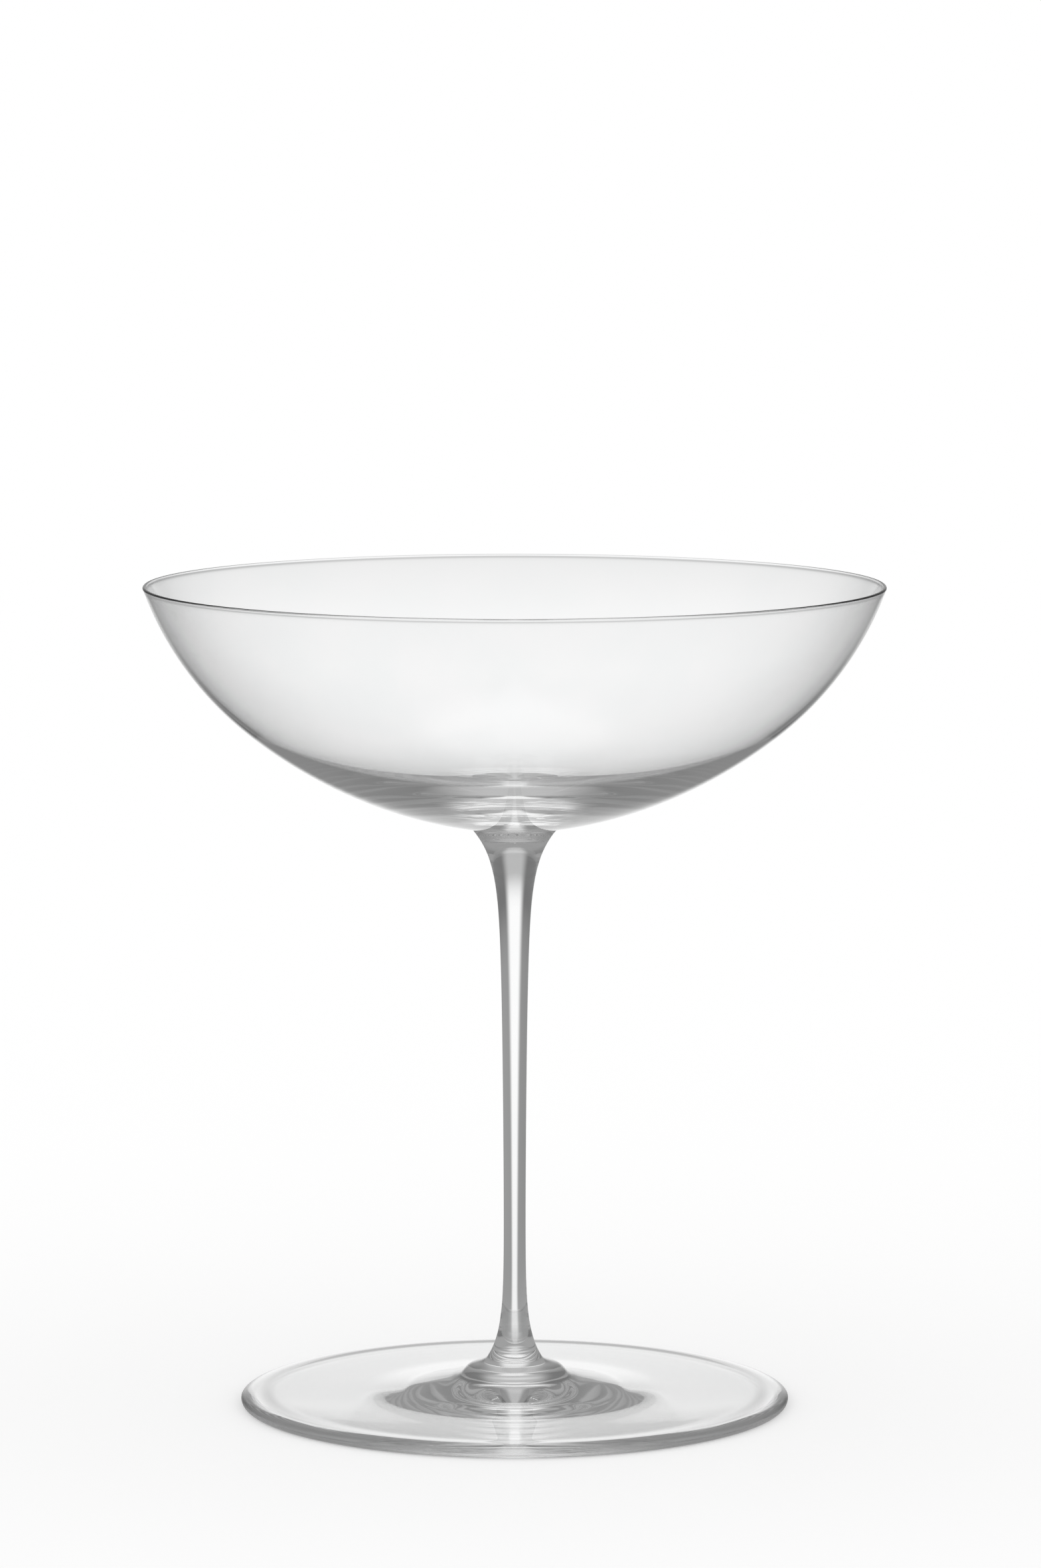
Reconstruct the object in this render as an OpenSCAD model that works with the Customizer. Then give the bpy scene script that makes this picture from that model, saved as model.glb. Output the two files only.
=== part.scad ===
// Coupe glass: a shallow blown bowl on a drawn stem and a pressed foot, all of clear glass.
// The origin is on the table under the middle of the foot, and +Z points up.
// Lengths are in millimetres and angles in degrees.

/* [Lip] */
// Height of the lip above the table
overall_height = 134; // [115:1:160]
// Outer diameter of the lip
lip_diameter = 120; // [100:1:140]
// How far the fire-polished lip stands proud of the wall on each side
lip_swell = 0.02; // [0.01:0.01:0.2]

/* [Bowl] */
// Depth of the outside, from the lip down to the top of the stem
bowl_depth = 39.5; // [30:0.5:48]
// Thickness of the wall at the lip, measured level
wall_thickness = 0.6; // [0.5:0.02:1.5]
// Thickness of the glass between the inside's floor and the stem
base_thickness = 5.5; // [4:0.1:7]
// Where the outside's two rounds meet, as a share of the way out from the stem to the lip
shoulder_out_share = 0.69; // [0.64:0.01:0.74]
// The same as a share of the way up
shoulder_up_share = 0.41; // [0.36:0.01:0.46]

/* [Stem] */
// Diameter where the stem spreads under the bowl
stem_top_diameter = 14.3; // [10:0.1:18]
// Diameter of the shaft just below the top spread
stem_neck_diameter = 5.6; // [4:0.1:8]
// Diameter of the shaft at its thinnest, above the foot
stem_waist_diameter = 3.5; // [2.5:0.1:4]
// Diameter where the stem spreads on the foot's hub
stem_bottom_diameter = 9; // [7:0.1:12]
// Length over which the top spread falls to about a third
top_spread_length = 4.8; // [2:0.1:9]
// Length over which the bottom spread falls to about a third
bottom_spread_length = 4.2; // [2:0.1:9]

/* [Foot] */
// Diameter of the foot
foot_diameter = 89.4; // [75:0.1:100]
// Thickness of the foot at the bead along its edge
foot_edge_thickness = 1.9; // [1.5:0.1:2.4]
// How far the round of the bead's top reaches in from the edge
edge_round_width = 3.2; // [2:0.1:5]
// Height of the bead above the disc
bead_rise = 0.12; // [0.04:0.01:0.4]
// Length over which the bead falls to the disc
bead_width = 1.5; // [0.8:0.1:3]
// How far the disc's top rises from the bead to the middle
foot_rise = 0.7; // [0.2:0.1:1.1]
// Diameter at which the gently sloping skirt runs out
skirt_diameter = 47; // [40:0.5:54]
// Slope of the skirt, in degrees
skirt_angle = 4; // [2:0.2:5.4]
// Length over which the skirt's slope fades out
skirt_blend = 0.9; // [0.5:0.1:2]
// Diameter at which the steeper apron around the stem begins
apron_diameter = 35; // [28:0.5:38]
// Slope of the apron, in degrees
apron_angle = 10.5; // [7:0.5:12.5]
// Length over which the apron's slope turns into the skirt's
apron_blend = 0.4; // [0.3:0.1:1.5]
// Diameter of the round button on the apron, halfway up its side
button_diameter = 16.6; // [14:0.1:19]
// Height of the button above the apron
button_rise = 1.5; // [0.8:0.1:2]
// Length over which the button's side turns
button_blend = 0.4; // [0.3:0.05:0.8]
// Height of the joint with the stem above the table
hub_height = 7.4; // [7:0.1:9]
// Length over which the collar around the stem falls to about a third
collar_spread = 0.7; // [0.4:0.05:1.2]
// Depth of the hollow under the foot
hollow_depth = 0.2; // [0.1:0.05:0.8]
// Width of the flat ring that the foot stands on
resting_ring_width = 7; // [3:0.5:12]

/* [Hidden] */
clear_glass = [0.90, 0.94, 0.95, 0.45];
// Facets of a full turn, and of the small round of the lip
$fn = 240;
lip_facets = 32;
// Points along each curved outline
outline_steps = 48;
top_steps = 96;
hollow_steps = 24;
edge_steps = 12;
// How the shaft narrows on its way down
taper_power = 2.7;
// How the points of the foot's top crowd together towards the stem
crowd_power = 1.5;
// How far a shape reaches past what it cuts or joins
overrun = 1;
// The inside's radius is rounded to this, so that its flank and its floor meet in one circle,
// and the upper arc is widened by it, so that it crosses the lower one cleanly
grain = 0.001;

// Where the bowl, the stem and the foot meet
seat_z = overall_height - bowl_depth;
seat_radius = stem_top_diameter / 2;
joint_radius = stem_bottom_diameter / 2;

// The lip is a small round whose centre lies in the middle of the wall
lip_radius = wall_thickness / 2 + lip_swell;
lip_centre = [lip_diameter / 2 - lip_radius, overall_height - lip_radius];
outer_lip = lip_centre + [wall_thickness / 2, 0];
inner_lip = lip_centre - [wall_thickness / 2, 0];

// The outside is two arcs, from the edge of the stem's seat to the shoulder and from there to the lip.
// At the shoulder both have the mean slope of their chords, so they run into each other smoothly.
seat_edge = [seat_radius, seat_z];
lip_away = outer_lip - seat_edge;
shoulder = seat_edge + [lip_away.x * shoulder_out_share, lip_away.y * shoulder_up_share];
shoulder_slope = (chord_slope(seat_edge, shoulder) + chord_slope(shoulder, outer_lip)) / 2;
shoulder_inwards = [-sin(shoulder_slope), cos(shoulder_slope)];
base_radius = shoulder_arc_radius(seat_edge);
belly_radius = shoulder_arc_radius(outer_lip);
base_centre = shoulder + base_radius * shoulder_inwards;
belly_centre = shoulder + belly_radius * shoulder_inwards;

// The inside is one arc that runs along the outside at the lip, and ends level at the floor.
// Its centre lies on the line from the upper arc's centre to the lip.
floor_z = seat_z + base_thickness;
lip_reach = norm(inner_lip - belly_centre);
lip_direction = (inner_lip - belly_centre) / lip_reach;
inside_shift = (lip_reach - (belly_centre.y - floor_z)) / (1 + lip_direction.y);
floor_radius = belly_centre.x + inside_shift * lip_direction.x;
inside_radius = round((lip_reach - inside_shift) / grain) * grain;
inside_centre = [floor_radius, floor_z + inside_radius];

// Radii of the stem's shaft
neck_radius = stem_neck_diameter / 2;
waist_radius = stem_waist_diameter / 2;
stem_length = seat_z - hub_height;

// The foot's edge is round below and drawn out above, and the resting ring ends where the low round begins
foot_radius = foot_diameter / 2;
edge_radius = foot_edge_thickness / 2;
low_centre = [foot_radius - edge_radius, edge_radius];
high_centre = [foot_radius - edge_round_width, edge_radius];
hollow_radius = low_centre.x - resting_ring_width;
skirt_radius = skirt_diameter / 2;
apron_radius = apron_diameter / 2;
button_radius = button_diameter / 2;

// Slope in degrees of a chord
function chord_slope(start, end) = atan2(end.y - start.y, end.x - start.x);

// Radius of the arc that touches the shoulder's slope there and ends at a point
function shoulder_arc_radius(end) = let (chord = end - shoulder)
    (chord * chord) / (2 * chord * shoulder_inwards);

// Radius of the stem at a height: a tapered shaft, and a spread that dies away from each end
function stem_radius(z) = waist_radius
    + (neck_radius - waist_radius) * pow((z - hub_height) / stem_length, taper_power)
    + (seat_radius - neck_radius) * exp((z - seat_z) / top_spread_length)
    + (joint_radius - waist_radius) * exp((hub_height - z) / bottom_spread_length);

// Rise at a radius of a cone that runs out softly where it ends
function slope_up(r, end, slope_share, blend) = slope_share * blend * ln(1 + exp((end - r) / blend));

// Height of the foot's top at a radius, without the collar:
// a beaded disc, a skirt, a steeper apron and a round button
function button_top(r) = let (inwards = high_centre.x - r)
    foot_edge_thickness - bead_rise
    + bead_rise * exp(-pow(inwards / bead_width, 2))
    + foot_rise * inwards / (high_centre.x - joint_radius)
    + slope_up(r, skirt_radius, tan(skirt_angle), skirt_blend)
    + slope_up(r, apron_radius, tan(apron_angle) - tan(skirt_angle), apron_blend)
    + button_rise / (1 + exp((r - button_radius) / button_blend));

// The same with the collar where the stem is fused to the button
function foot_top(r) = button_top(r)
    + (hub_height - button_top(joint_radius)) * exp((joint_radius - r) / collar_spread);

// Shares of an outline from 0 to 1, and the same drawn closer together at both ends
function even_shares(steps) = [for (i = [0 : steps]) i / steps];
function end_shares(steps) = [for (share = even_shares(steps)) (1 - cos(180 * share)) / 2];

module bowl_section() {
    difference() {
        bowl_outside();
        bowl_inside();
    }
    translate(lip_centre) circle(lip_radius, $fn = lip_facets);
}

// The bowl without its inside: the lower arc as far as the shoulder, and the upper arc from a little
// below it, where its circle lies within the lower one
module bowl_outside() {
    intersection() {
        translate(base_centre) circle(base_radius);
        translate([0, seat_z]) square([lip_diameter / 2, shoulder.y - seat_z]);
    }
    intersection() {
        translate(belly_centre) circle(belly_radius + grain);
        translate([0, shoulder.y - overrun])
            square([lip_diameter / 2, lip_centre.y - shoulder.y + overrun]);
    }
}

// The space that holds the drink: a round flank outside a level floor
module bowl_inside() {
    intersection() {
        translate(inside_centre) circle(inside_radius);
        translate([floor_radius, floor_z - overrun])
            square([inside_radius + overrun, 2 * inside_radius]);
    }
    translate([0, floor_z]) square([floor_radius, bowl_depth]);
}

module stem_section() {
    side = [for (share = end_shares(outline_steps))
        let (z = hub_height + stem_length * share) [stem_radius(z), z]];
    polygon(concat([[0, hub_height]], side, [[0, seat_z]]));
}

module foot_section() {
    hollow = [for (share = even_shares(hollow_steps))
        [hollow_radius * share, hollow_depth * pow(1 - share * share, 2)]];
    low_edge = [for (share = even_shares(edge_steps))
        low_centre + edge_radius * [sin(90 * share), -cos(90 * share)]];
    high_edge = [for (share = even_shares(edge_steps)) if (share > 0)
        high_centre + [edge_round_width * cos(90 * share), edge_radius * sin(90 * share)]];
    top = [for (share = even_shares(top_steps)) if (share > 0)
        let (r = joint_radius + (high_centre.x - joint_radius) * pow(1 - share, crowd_power))
            [r, foot_top(r)]];
    polygon(concat(hollow, low_edge, high_edge, top, [[0, hub_height]]));
}

module bowl() {
    color(clear_glass) rotate_extrude() bowl_section();
}

module stem() {
    color(clear_glass) rotate_extrude() stem_section();
}

module foot() {
    color(clear_glass) rotate_extrude() foot_section();
}

bowl();
stem();
foot();
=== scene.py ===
# Looks of a clear coupe glass: a blown bowl, a drawn stem and a pressed foot, turned as dense lathes.
# Lengths are in metres. The glass stands on the floor at z = 0, with its axis on +Z.
import math

import bpy
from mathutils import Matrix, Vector, noise


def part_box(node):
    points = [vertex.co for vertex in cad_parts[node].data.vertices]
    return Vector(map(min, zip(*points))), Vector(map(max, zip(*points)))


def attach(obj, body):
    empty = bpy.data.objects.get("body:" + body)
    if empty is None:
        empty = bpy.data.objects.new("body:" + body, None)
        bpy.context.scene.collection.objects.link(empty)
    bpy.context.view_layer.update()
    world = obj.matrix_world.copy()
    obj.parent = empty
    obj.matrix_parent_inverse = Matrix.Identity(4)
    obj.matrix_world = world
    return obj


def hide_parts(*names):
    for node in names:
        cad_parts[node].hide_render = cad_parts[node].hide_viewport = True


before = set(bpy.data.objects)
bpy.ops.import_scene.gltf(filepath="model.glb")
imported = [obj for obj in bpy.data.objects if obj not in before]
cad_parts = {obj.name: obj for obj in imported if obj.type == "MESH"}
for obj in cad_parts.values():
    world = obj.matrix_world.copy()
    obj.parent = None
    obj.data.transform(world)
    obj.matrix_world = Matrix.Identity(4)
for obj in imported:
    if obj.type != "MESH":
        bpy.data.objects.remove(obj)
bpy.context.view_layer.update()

MM = 0.001

# Sizes that the frame gives
SEAT_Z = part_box("bowl")[0].z
LIP_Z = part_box("bowl")[1].z
LIP_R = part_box("bowl")[1].x
SEAT_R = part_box("stem")[1].x
HUB_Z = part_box("stem")[0].z
FOOT_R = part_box("foot")[1].x

# Bowl
WALL = 0.6 * MM
LIP_SWELL = 0.02 * MM
BASE = 5.5 * MM
SHOULDER_OUT = 0.69
SHOULDER_UP = 0.41

# Stem
NECK_R = 2.8 * MM
WAIST_R = 1.75 * MM
JOINT_R = 4.5 * MM
TOP_SPREAD = 4.8 * MM
BOTTOM_SPREAD = 4.2 * MM
TAPER_POWER = 2.7

# Foot
FOOT_EDGE = 1.9 * MM
EDGE_WIDTH = 3.2 * MM
BEAD_RISE = 0.12 * MM
BEAD_WIDTH = 1.5 * MM
FOOT_RISE = 0.7 * MM
SKIRT_R = 23.5 * MM
SKIRT_SLOPE = math.tan(math.radians(4))
SKIRT_BLEND = 0.9 * MM
APRON_R = 17.5 * MM
APRON_SLOPE = math.tan(math.radians(10.5))
APRON_BLEND = 0.4 * MM
BUTTON_R = 8.3 * MM
BUTTON_RISE = 1.5 * MM
BUTTON_BLEND = 0.4 * MM
COLLAR_SPREAD = 0.7 * MM
HOLLOW = 0.2 * MM
RING_WIDTH = 7.0 * MM

# Small waves that hand work leaves in the glass: height and length
BASE_WAVE = (0.06 * MM, 2.0 * MM)
SPREAD_WAVE = (0.03 * MM, 2.6 * MM)
SHAFT_WAVE = (0.006 * MM, 9.0 * MM)
HUB_WAVE = (0.02 * MM, 2.8 * MM)
DISC_WAVE = (0.0015 * MM, 1.6 * MM)
# How much a ring of waves wanders on its way round
RING_WANDER = 0.8
# Distance from a fused joint over which the waves begin
WAVE_FADE = 2.0 * MM
# Distances over which they grow to their full height: from the axis in the base and on the hub,
# from the joint along the stem's two spreads, and above the table on the foot
BASE_WAVE_REACH = (11.0 * MM, 8.0 * MM)
HUB_WAVE_REACH = (20.0 * MM, 9.0 * MM)
LOW_SPREAD_REACH = (18.0 * MM, 4.0 * MM)
HIGH_SPREAD_REACH = (16.0 * MM, 4.0 * MM)
FOOT_WAVE_REACH = (0.8 * MM, 1.6 * MM)
# Height of the upper spread's waves as a share of the lower one's
HIGH_SPREAD_SHARE = 0.5

# Glass: how it bends light. Cords in it: how many to a metre, how they fade out, and their faint tint.
GLASS_IOR = 1.5
CORD_SCALE = 60.0
CORD_EDGES = (0.4, 0.6)
CORD_TINT = (0.985, 0.99, 0.99, 1)
WHITE = (1, 1, 1, 1)

# Facets around the axis and points along the outlines
SEGMENTS = 256
LONG_STEPS = 128
SHORT_STEPS = 24
# How the points of the foot's top crowd together towards the stem
CROWD_POWER = 2
# A point closer to the axis than this lies on it
ON_AXIS = 1e-9

# Floor: the radii of its disc and of the ring around it, its distance below the foot, its glow and its grey
FLOOR_INNER = 0.046
FLOOR_OUTER = 1.5
FLOOR_GAP = 0.02 * MM
FLOOR_GLOW = 0.4
FLOOR_GREY = 0.6

# Tent of soft light: its radius, the height of its middle, and its facets
TENT_R = 0.6
TENT_Z = 0.07
TENT_ROWS = 90
TENT_COLUMNS = 180
# Brightness of its sides and of the bright field on its far side. A step says by how much it changes,
# and from which elevation to which, in degrees.
SIDE_GREY = 0.17
SIDE_STEPS = ((0.15, 20, 55), (0.13, 1, -7), (0.06, -12, -30))
BACK_GREY = 1.04
BACK_STEPS = ((-0.54, -2, 9), (-0.1, -6, -20), (-0.35, -20, -60))
# How much lighter the right side is just below the horizon, and the left side darker,
# and the elevations over which that begins and ends
SIDE_SHIFT = 0.04
SHIFT_BEGINS = (-1, -7)
SHIFT_ENDS = (-19, -12)
# Azimuths over which the bright field begins, and how it grows narrower lower down
FIELD_EDGE = (24, 9)
FIELD_NARROWING = 0.9
NARROWING_REACH = (-4, -19)
# Brightness of the patch straight below, which stands for the table, and the elevations over which it begins
BELOW_GREY = 0.75
BELOW_REACH = (-64, -78)

# How often light may be bent or mirrored on its way through the glass
BOUNCES = 64

# Camera
CAMERA_PLACE = (0.95 * MM, -1.1029, 0.2312)
CAMERA_PITCH = math.radians(6.701)
CAMERA_LENS = 157.5
SENSOR = 36.0


def arc(centre, radius, start, end, steps):
    """Points of a round stretch, from one angle to another, both ends included."""
    angles = [start + (end - start) * i / steps for i in range(steps + 1)]
    return [Vector((centre.x + radius * math.cos(a), centre.y + radius * math.sin(a))) for a in angles]


def line(start, end, steps):
    """Points of a straight stretch, both ends included."""
    return [start.lerp(end, i / steps) for i in range(steps + 1)]


def angle_of(point, centre):
    """Direction from a centre to a point."""
    away = point - centre
    return math.atan2(away.y, away.x)


def arc_from(start, slope, end):
    """Centre and radius of the arc that leaves a point with a slope, and curves up to an end."""
    inwards = Vector((-math.sin(slope), math.cos(slope)))
    chord = end - start
    radius = chord.length_squared / (2 * chord.dot(inwards))
    return start + radius * inwards, radius


def bowl_runs():
    """Outline of the bowl: the fused seat, then outside, lip, inside and floor."""
    lip_radius = WALL / 2 + LIP_SWELL
    lip_centre = Vector((LIP_R - lip_radius, LIP_Z - lip_radius))
    outer_lip = lip_centre + Vector((WALL / 2, 0))
    inner_lip = lip_centre - Vector((WALL / 2, 0))
    seat_edge = Vector((SEAT_R, SEAT_Z))
    lip_away = outer_lip - seat_edge
    shoulder = seat_edge + Vector((lip_away.x * SHOULDER_OUT, lip_away.y * SHOULDER_UP))
    slope = (angle_of(shoulder, seat_edge) + angle_of(outer_lip, shoulder)) / 2
    base_centre, base_radius = arc_from(shoulder, slope, seat_edge)
    belly_centre, belly_radius = arc_from(shoulder, slope, outer_lip)

    floor_z = SEAT_Z + BASE
    lip_reach = (inner_lip - belly_centre).length
    lip_direction = (inner_lip - belly_centre) / lip_reach
    inside_shift = (lip_reach - (belly_centre.y - floor_z)) / (1 + lip_direction.y)
    floor_radius = belly_centre.x + inside_shift * lip_direction.x
    inside_radius = lip_reach - inside_shift
    inside_centre = Vector((floor_radius, floor_z + inside_radius))

    seat = line(Vector((0, SEAT_Z)), seat_edge, SHORT_STEPS)
    low = arc(base_centre, base_radius, angle_of(seat_edge, base_centre),
              angle_of(shoulder, base_centre), LONG_STEPS)
    high = arc(belly_centre, belly_radius, angle_of(shoulder, belly_centre),
               angle_of(outer_lip, belly_centre), LONG_STEPS)
    lip = arc(lip_centre, lip_radius, 0, math.pi, SHORT_STEPS)
    inside = arc(inside_centre, inside_radius, angle_of(inner_lip, inside_centre),
                 -math.pi / 2, LONG_STEPS)
    floor = line(Vector((floor_radius, floor_z)), Vector((0, floor_z)), SHORT_STEPS)
    return [("joint", seat), ("glass", low + high[1:-1] + lip + inside[1:] + floor[1:])]


def stem_radius(z):
    """Radius of the stem at a height: a tapered shaft, and a spread that dies away from each end."""
    share = (z - HUB_Z) / (SEAT_Z - HUB_Z)
    shaft = WAIST_R + (NECK_R - WAIST_R) * share ** TAPER_POWER
    top = (SEAT_R - NECK_R) * math.exp((z - SEAT_Z) / TOP_SPREAD)
    bottom = (JOINT_R - WAIST_R) * math.exp((HUB_Z - z) / BOTTOM_SPREAD)
    return shaft + top + bottom


def stem_runs():
    """Outline of the stem: the lower fused face, the side and the upper fused face."""
    shares = [(1 - math.cos(math.pi * i / LONG_STEPS)) / 2 for i in range(LONG_STEPS + 1)]
    heights = [HUB_Z + (SEAT_Z - HUB_Z) * share for share in shares]
    side = [Vector((stem_radius(z), z)) for z in heights]
    side[0].x = JOINT_R
    side[-1].x = SEAT_R
    bottom = line(Vector((0, HUB_Z)), side[0], SHORT_STEPS)
    top = line(side[-1], Vector((0, SEAT_Z)), SHORT_STEPS)
    return [("joint", bottom), ("glass", side), ("joint", top)]


def slope_up(r, end, slope, blend):
    """Rise of a cone that runs out softly at a radius."""
    return slope * blend * math.log(1 + math.exp((end - r) / blend))


def button_top(r):
    """Height of the foot's top without the collar: a beaded disc, a skirt, a steeper apron and a button."""
    inwards = FOOT_R - EDGE_WIDTH - r
    bead = BEAD_RISE * math.exp(-(inwards / BEAD_WIDTH) ** 2)
    disc = FOOT_EDGE - BEAD_RISE + FOOT_RISE * inwards / (FOOT_R - EDGE_WIDTH - JOINT_R)
    skirt = slope_up(r, SKIRT_R, SKIRT_SLOPE, SKIRT_BLEND)
    apron = slope_up(r, APRON_R, APRON_SLOPE - SKIRT_SLOPE, APRON_BLEND)
    button = BUTTON_RISE / (1 + math.exp((r - BUTTON_R) / BUTTON_BLEND))
    return bead + disc + skirt + apron + button


def foot_top(r):
    """Height of the foot's top at a radius, with the collar where the stem is fused to the button."""
    collar = HUB_Z - button_top(JOINT_R)
    return button_top(r) + collar * math.exp((JOINT_R - r) / COLLAR_SPREAD)


def foot_runs():
    """Outline of the foot: hollow underside, resting ring, rounded edge, top and fused hub."""
    low_centre = Vector((FOOT_R - FOOT_EDGE / 2, FOOT_EDGE / 2))
    hollow_radius = low_centre.x - RING_WIDTH
    shares = [i / LONG_STEPS for i in range(LONG_STEPS + 1)]
    hollow = [Vector((hollow_radius * s, HOLLOW * (1 - s * s) ** 2)) for s in shares]
    ring = line(hollow[-1], Vector((low_centre.x, 0)), SHORT_STEPS)
    low_edge = arc(low_centre, FOOT_EDGE / 2, -math.pi / 2, 0, SHORT_STEPS)
    unit_edge = arc(Vector((0, 0)), 1, 0, math.pi / 2, SHORT_STEPS)
    high_edge = [Vector((FOOT_R - EDGE_WIDTH * (1 - p.x), FOOT_EDGE / 2 * (1 + p.y))) for p in unit_edge]
    edge = low_edge + high_edge[1:]
    reach = FOOT_R - EDGE_WIDTH - JOINT_R
    radii = [JOINT_R + reach * (1 - s) ** CROWD_POWER for s in shares]
    top = [Vector((r, foot_top(r))) for r in radii]
    top[-1].y = HUB_Z
    hub = line(top[-1], Vector((0, HUB_Z)), SHORT_STEPS)
    return [("glass", hollow + ring[1:] + edge[1:] + top[1:]), ("joint", hub)]


def ease(start, end, value):
    """A soft step from 0 to 1 between two values."""
    share = min(max((value - start) / (end - start), 0), 1)
    return share * share * (3 - 2 * share)


def ring_waves(r, angle, wave):
    """Waves that run around the axis, and wander a little on their way round."""
    height, length = wave
    spot = Vector((r / length, RING_WANDER * math.cos(angle), RING_WANDER * math.sin(angle)))
    return height * noise.noise(spot)


def lump_waves(r, angle, z, wave):
    """Waves of the same length in all directions."""
    height, length = wave
    return height * noise.noise(Vector((r * math.cos(angle), r * math.sin(angle), z)) / length)


def bowl_waves(r, angle, z):
    """Waves of the bowl's base, which die away up the wall."""
    return lump_waves(r, angle, z, BASE_WAVE) * ease(*BASE_WAVE_REACH, r)


def stem_waves(r, angle, z):
    """Lumps of the stem's two spreads, and longer waves along its shaft."""
    low = ease(*LOW_SPREAD_REACH, z - HUB_Z)
    high = HIGH_SPREAD_SHARE * ease(*HIGH_SPREAD_REACH, SEAT_Z - z)
    lumps = lump_waves(r, angle, z, SPREAD_WAVE) * (low + high)
    return lumps + lump_waves(r, angle, z, SHAFT_WAVE)


def foot_waves(r, angle, z):
    """Lumps of the hub on the foot's top, and fine tool marks on the disc."""
    above = ease(*FOOT_WAVE_REACH, z)
    hub = lump_waves(r, angle, z, HUB_WAVE) * ease(*HUB_WAVE_REACH, r)
    return above * (hub + ring_waves(r, angle, DISC_WAVE))


def outward(outline, i):
    """Direction out of the glass at a point of an outline that runs with the glass on its left."""
    along = outline[min(i + 1, len(outline) - 1)] - outline[max(i - 1, 0)]
    return Vector((along.y, -along.x)).normalized()


def wave_shares(runs):
    """How much of the waves each outline point gets: none on the fused joints, all a little way off."""
    shares = [0.0]
    for finish, points in runs:
        lengths = [0.0]
        for start, end in zip(points, points[1:]):
            lengths.append(lengths[-1] + (end - start).length)
        fades = [ease(0, WAVE_FADE, min(s, lengths[-1] - s)) for s in lengths]
        shares += fades[1:] if finish == "glass" else [0.0] * (len(points) - 1)
    return shares


def lathe(name, runs, materials, waves):
    """A closed solid of revolution. Runs meet in sharp rings, and each names its material."""
    outline = [runs[0][1][0]]
    finishes = []
    sharp_rings = set()
    for finish, points in runs:
        outline += points[1:]
        finishes += [list(materials).index(finish)] * (len(points) - 1)
        sharp_rings.add(len(outline) - 1)
    turns = [2 * math.pi * j / SEGMENTS for j in range(SEGMENTS)]
    vertices = []
    rings = []
    for i, (point, share) in enumerate(zip(outline, wave_shares(runs))):
        pole = point.x < ON_AXIS
        first = len(vertices)
        for angle in turns[:1] if pole else turns:
            spot = point
            if share > 0 and not pole:
                spot = point + outward(outline, i) * share * waves(point.x, angle, point.y)
            vertices.append((spot.x * math.cos(angle), spot.x * math.sin(angle), spot.y))
        rings.append([first] * SEGMENTS if pole else list(range(first, first + SEGMENTS)))
    faces = []
    face_finishes = []
    for i, finish in enumerate(finishes):
        low, high = rings[i], rings[i + 1]
        for j in range(SEGMENTS):
            k = (j + 1) % SEGMENTS
            corners = [low[j], low[k], high[k], high[j]]
            faces.append(list(dict.fromkeys(corners)))
            face_finishes.append(finish)
    mesh = bpy.data.meshes.new(name)
    mesh.from_pydata(vertices, [], faces)
    mesh.polygons.foreach_set("use_smooth", [True] * len(faces))
    mesh.polygons.foreach_set("material_index", face_finishes)
    sharp = {tuple(sorted((ring[j], ring[(j + 1) % SEGMENTS])))
             for i, ring in enumerate(rings) if i in sharp_rings and ring[0] != ring[1]
             for j in range(SEGMENTS)}
    for mesh_edge in mesh.edges:
        mesh_edge.use_edge_sharp = tuple(sorted(mesh_edge.vertices)) in sharp
    for material in materials.values():
        mesh.materials.append(material)
    mesh.update()
    piece = bpy.data.objects.new(name, mesh)
    bpy.context.scene.collection.objects.link(piece)
    return piece


def new_material(name):
    """An empty node material, with its node tree and output."""
    material = bpy.data.materials.new(name)
    material.use_nodes = True
    nodes = material.node_tree.nodes
    nodes.clear()
    output = nodes.new("ShaderNodeOutputMaterial")
    return material, material.node_tree, output


def glass_material():
    """Clear fire-polished glass with faint cords of a denser melt."""
    material, tree, output = new_material("clear_glass")
    shader = tree.nodes.new("ShaderNodeBsdfPrincipled")
    shader.inputs["IOR"].default_value = GLASS_IOR
    shader.inputs["Transmission Weight"].default_value = 1.0
    shader.inputs["Roughness"].default_value = 0.0
    place = tree.nodes.new("ShaderNodeTexCoord")
    cords = tree.nodes.new("ShaderNodeTexNoise")
    cords.inputs["Scale"].default_value = CORD_SCALE
    tint = tree.nodes.new("ShaderNodeValToRGB")
    for stop, edge, colour in zip(tint.color_ramp.elements, CORD_EDGES, (CORD_TINT, WHITE)):
        stop.position = edge
        stop.color = colour
    tree.links.new(place.outputs["Object"], cords.inputs["Vector"])
    tree.links.new(cords.outputs["Fac"], tint.inputs["Fac"])
    tree.links.new(tint.outputs["Color"], shader.inputs["Base Color"])
    tree.links.new(shader.outputs["BSDF"], output.inputs["Surface"])
    return material


def joint_material():
    """The face where two gathers of glass are fused, which light crosses unbent."""
    material, tree, output = new_material("fused_joint")
    shader = tree.nodes.new("ShaderNodeBsdfTransparent")
    tree.links.new(shader.outputs["BSDF"], output.inputs["Surface"])
    return material


def tent_material():
    """Soft light whose brightness is stored on the tent."""
    material, tree, output = new_material("tent")
    material.cycles.emission_sampling = "NONE"
    grey = tree.nodes.new("ShaderNodeAttribute")
    grey.attribute_name = "grey"
    shader = tree.nodes.new("ShaderNodeEmission")
    tree.links.new(grey.outputs["Fac"], shader.inputs["Color"])
    tree.links.new(shader.outputs["Emission"], output.inputs["Surface"])
    return material


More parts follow.
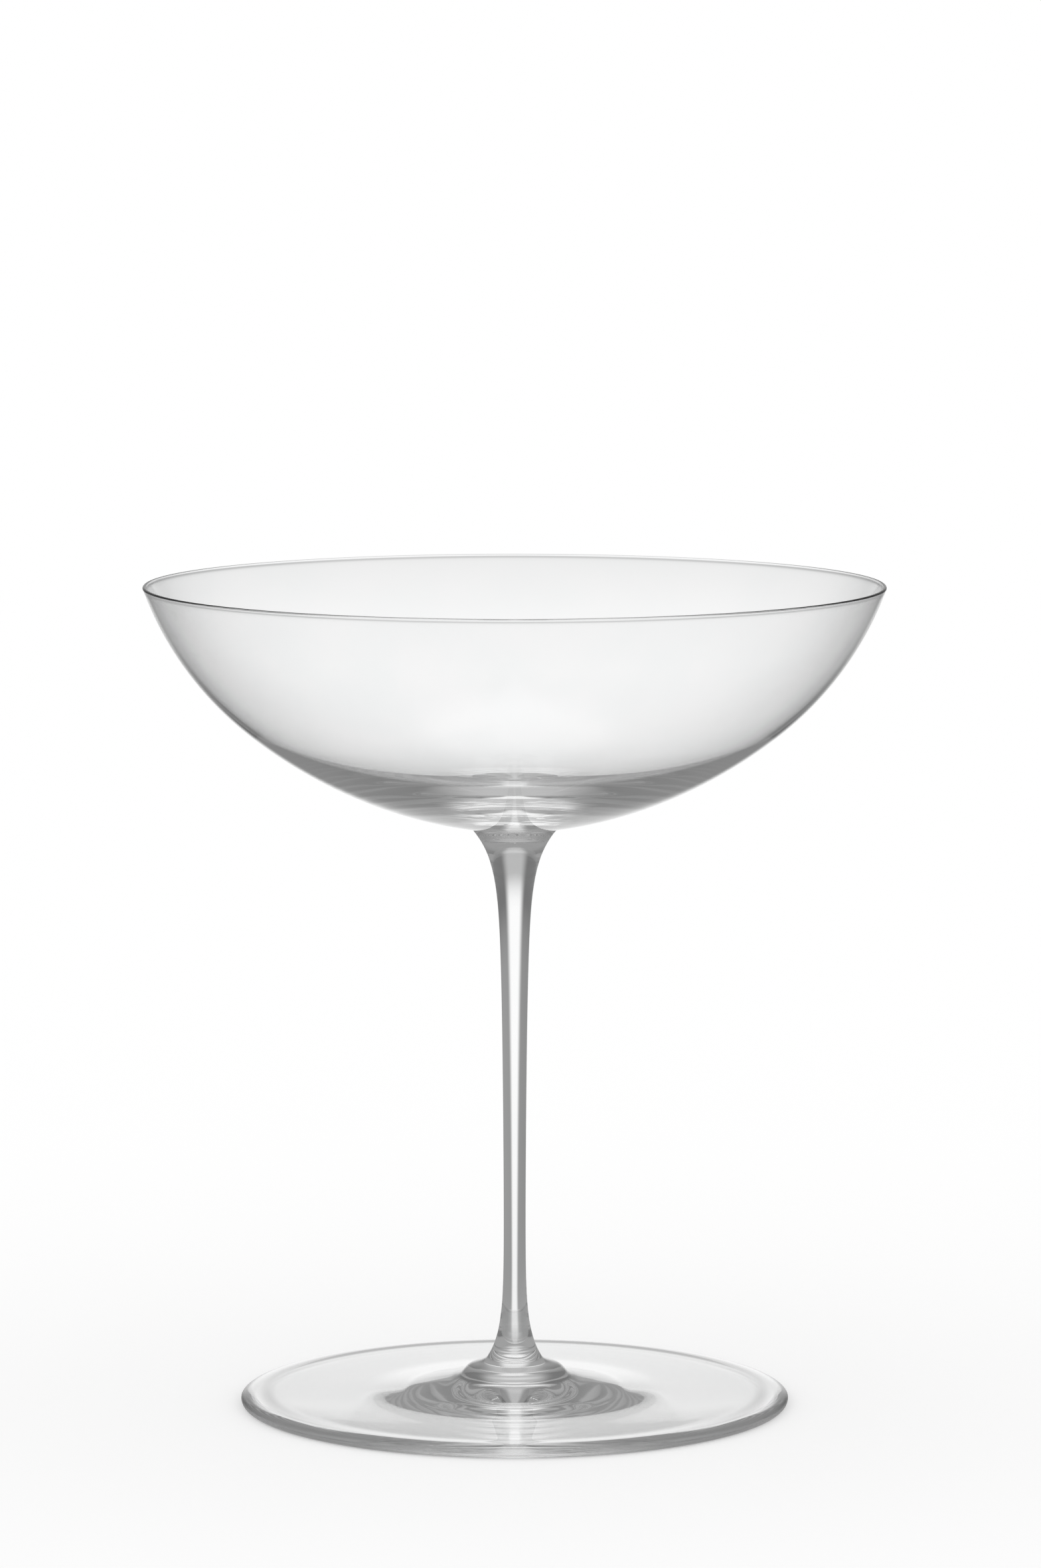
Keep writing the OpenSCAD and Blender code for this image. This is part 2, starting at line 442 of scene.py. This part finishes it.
def floor_material():
    """A plain white floor that keeps the shadow of the glass."""
    material, tree, output = new_material("pale_floor")
    diffuse = tree.nodes.new("ShaderNodeBsdfDiffuse")
    diffuse.inputs["Color"].default_value = (FLOOR_GREY, FLOOR_GREY, FLOOR_GREY, 1)
    glow = tree.nodes.new("ShaderNodeEmission")
    glow.inputs["Strength"].default_value = FLOOR_GLOW
    both = tree.nodes.new("ShaderNodeAddShader")
    tree.links.new(diffuse.outputs["BSDF"], both.inputs[0])
    tree.links.new(glow.outputs["Emission"], both.inputs[1])
    tree.links.new(both.outputs["Shader"], output.inputs["Surface"])
    return material


def ring_mesh(name, inner, outer):
    """A flat ring, or a disc where the inner radius is zero."""
    turns = [2 * math.pi * j / SEGMENTS for j in range(SEGMENTS)]
    points = [(outer * math.cos(a), outer * math.sin(a), 0) for a in turns]
    faces = [list(range(SEGMENTS))]
    if inner > 0:
        points += [(inner * math.cos(a), inner * math.sin(a), 0) for a in turns]
        faces = [[j, (j + 1) % SEGMENTS, SEGMENTS + (j + 1) % SEGMENTS, SEGMENTS + j]
                 for j in range(SEGMENTS)]
    mesh = bpy.data.meshes.new(name)
    mesh.from_pydata(points, [], faces)
    return mesh


def make_floor():
    """The floor: a disc and a wide ring around it, seen by the camera but not through the glass."""
    material = floor_material()
    for name, inner, outer in (("floor", 0, FLOOR_INNER), ("floor_around", FLOOR_INNER, FLOOR_OUTER)):
        mesh = ring_mesh(name, inner, outer)
        mesh.materials.append(material)
        part = bpy.data.objects.new(name, mesh)
        part.location.z = -FLOOR_GAP
        bpy.context.scene.collection.objects.link(part)
        part.visible_glossy = False
        part.visible_transmission = False


def stepped(level, steps, elevation):
    """A brightness that changes in soft steps with the elevation."""
    return level + sum(change * ease(start, end, elevation) for change, start, end in steps)


def tent_grey(azimuth, elevation):
    """Brightness of the tent around the glass. Azimuth runs from the far side to the right, in degrees."""
    shift = SIDE_SHIFT * ease(*SHIFT_BEGINS, elevation) * ease(*SHIFT_ENDS, elevation)
    side = stepped(SIDE_GREY, SIDE_STEPS, elevation) + shift * math.sin(math.radians(azimuth))
    back = stepped(BACK_GREY, BACK_STEPS, elevation)
    spread = abs(azimuth) * (1 + FIELD_NARROWING * ease(*NARROWING_REACH, elevation))
    around = side + (back - side) * ease(*FIELD_EDGE, spread)
    return around + (BELOW_GREY - around) * ease(*BELOW_REACH, elevation)


def make_tent(rig):
    """A round tent of soft light, seen by the glass alone."""
    points = []
    greys = []
    for i in range(TENT_ROWS + 1):
        elevation = -90 + 180 * i / TENT_ROWS
        flat = TENT_R * math.cos(math.radians(elevation))
        for j in range(TENT_COLUMNS):
            azimuth = -180 + 360 * j / TENT_COLUMNS
            points.append((flat * math.sin(math.radians(azimuth)), flat * math.cos(math.radians(azimuth)),
                           TENT_Z + TENT_R * math.sin(math.radians(elevation))))
            greys.append(tent_grey(azimuth, elevation))
    faces = []
    for i in range(TENT_ROWS):
        low, high = i * TENT_COLUMNS, (i + 1) * TENT_COLUMNS
        for j in range(TENT_COLUMNS):
            k = (j + 1) % TENT_COLUMNS
            faces.append([low + j, low + k, high + k, high + j])
    mesh = bpy.data.meshes.new("tent")
    mesh.from_pydata(points, [], faces)
    mesh.attributes.new("grey", "FLOAT", "POINT").data.foreach_set("value", greys)
    mesh.materials.append(tent_material())
    tent = bpy.data.objects.new("tent", mesh)
    tent.visible_camera = False
    tent.visible_diffuse = False
    tent.visible_shadow = False
    bpy.context.scene.collection.objects.link(tent)
    tent.parent = rig


def make_camera():
    """The camera, level in roll, looking down at the glass."""
    data = bpy.data.cameras.new("camera")
    data.lens = CAMERA_LENS
    data.sensor_width = SENSOR
    camera = bpy.data.objects.new("camera", data)
    camera.location = CAMERA_PLACE
    camera.rotation_euler = (math.pi / 2 - CAMERA_PITCH, 0, 0)
    bpy.context.scene.collection.objects.link(camera)
    bpy.context.scene.camera = camera
    return camera


def make_light(camera):
    """A white studio, with a tent that turns with the camera, as for a glass on a turntable."""
    world = bpy.data.worlds.new("studio")
    world.use_nodes = True
    background = world.node_tree.nodes["Background"]
    background.inputs["Color"].default_value = WHITE
    background.inputs["Strength"].default_value = 1.0
    bpy.context.scene.world = world
    rig = bpy.data.objects.new("tent_rig", None)
    bpy.context.scene.collection.objects.link(rig)
    track = rig.constraints.new("LOCKED_TRACK")
    track.target = camera
    track.track_axis = "TRACK_NEGATIVE_Y"
    track.lock_axis = "LOCK_Z"
    make_tent(rig)


def main():
    """Sets up the studio, and puts the three pieces of glass in it."""
    scene = bpy.context.scene
    scene.view_settings.view_transform = "Standard"
    scene.cycles.max_bounces = BOUNCES
    scene.cycles.glossy_bounces = BOUNCES
    scene.cycles.transmission_bounces = BOUNCES
    scene.cycles.transparent_max_bounces = BOUNCES
    camera = make_camera()
    make_light(camera)
    make_floor()
    materials = {"glass": glass_material(), "joint": joint_material()}
    shapes = {"bowl": (bowl_runs(), bowl_waves), "stem": (stem_runs(), stem_waves),
              "foot": (foot_runs(), foot_waves)}
    for node, (runs, waves) in shapes.items():
        piece = lathe(node + "_glass", runs, materials, waves)
        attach(piece, "root")
        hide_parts(node)


main()
